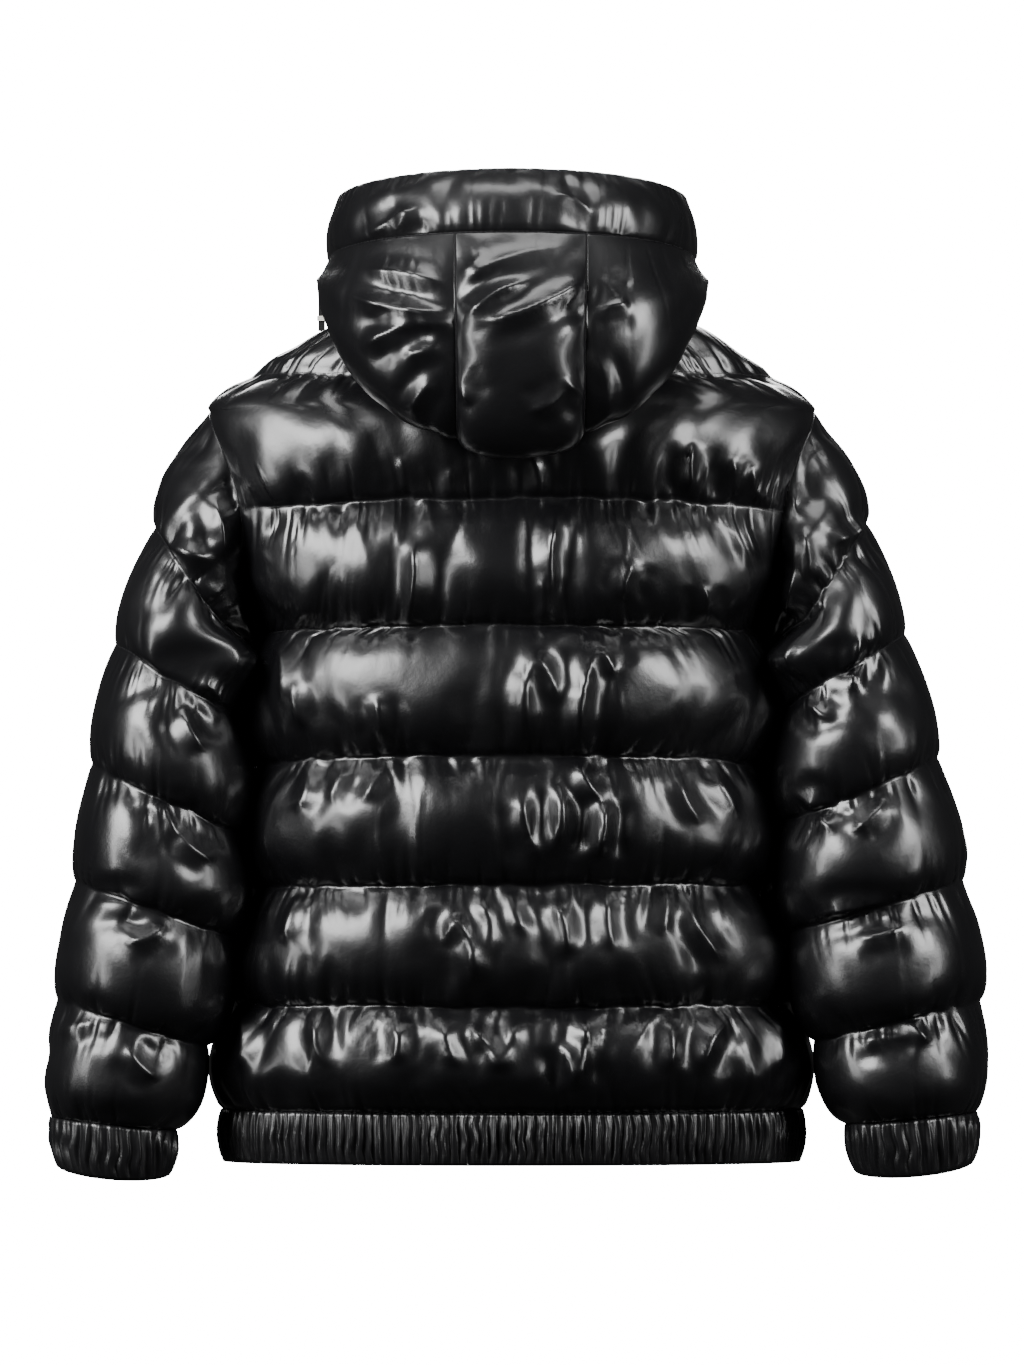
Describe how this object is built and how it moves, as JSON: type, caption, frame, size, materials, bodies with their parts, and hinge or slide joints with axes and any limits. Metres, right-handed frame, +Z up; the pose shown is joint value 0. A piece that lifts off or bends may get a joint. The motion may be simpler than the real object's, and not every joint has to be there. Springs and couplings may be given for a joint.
{
  "type": "puffer jacket",
  "caption": "Hooded puffer jacket, filled out and hollow, with padded quilted rows, a hood lying on the back, a closed front zip and gathered hem and cuffs.",
  "frame": {"origin": "middle of the neck opening at the base of the neck, where the wearer holds the jacket up", "axes": "+Z up; -Y is the wearer's front; +X is the wearer's left"},
  "size_m": [0.7679, 0.3652, 0.8227],
  "materials": {
    "cloth": "glossy black coated woven nylon over soft padding",
    "gathered_cloth": "the same glossy black nylon gathered on elastic",
    "zip_tape": "matt black woven tape",
    "zip_metal": "black enamelled metal",
    "tab_band": "pale woven band"
  },
  "bodies": {
    "jacket": {"back": "cloth", "front_left": "cloth", "front_right": "cloth", "sleeve_left": "cloth", "sleeve_right": "cloth", "cuff_left": "gathered_cloth", "cuff_right": "gathered_cloth", "hem_band": "gathered_cloth", "hood_centre": "cloth", "hood_left": "cloth", "hood_right": "cloth", "hood_band": "cloth", "zip": "zip_tape", "zip_slider": "zip_metal", "hood_tab": "zip_tape", "hood_tab_band": "tab_band"},
    "pull": {"zip_pull": "zip_metal"}
  },
  "joints": [
    {"name": "zip_pull_hinge", "type": "hinge", "parent": "jacket", "child": "pull", "pos_m": [0, -0.11101, 0.081], "axis": [-1, 0, 0], "range_deg": [0, 150]}
  ]
}
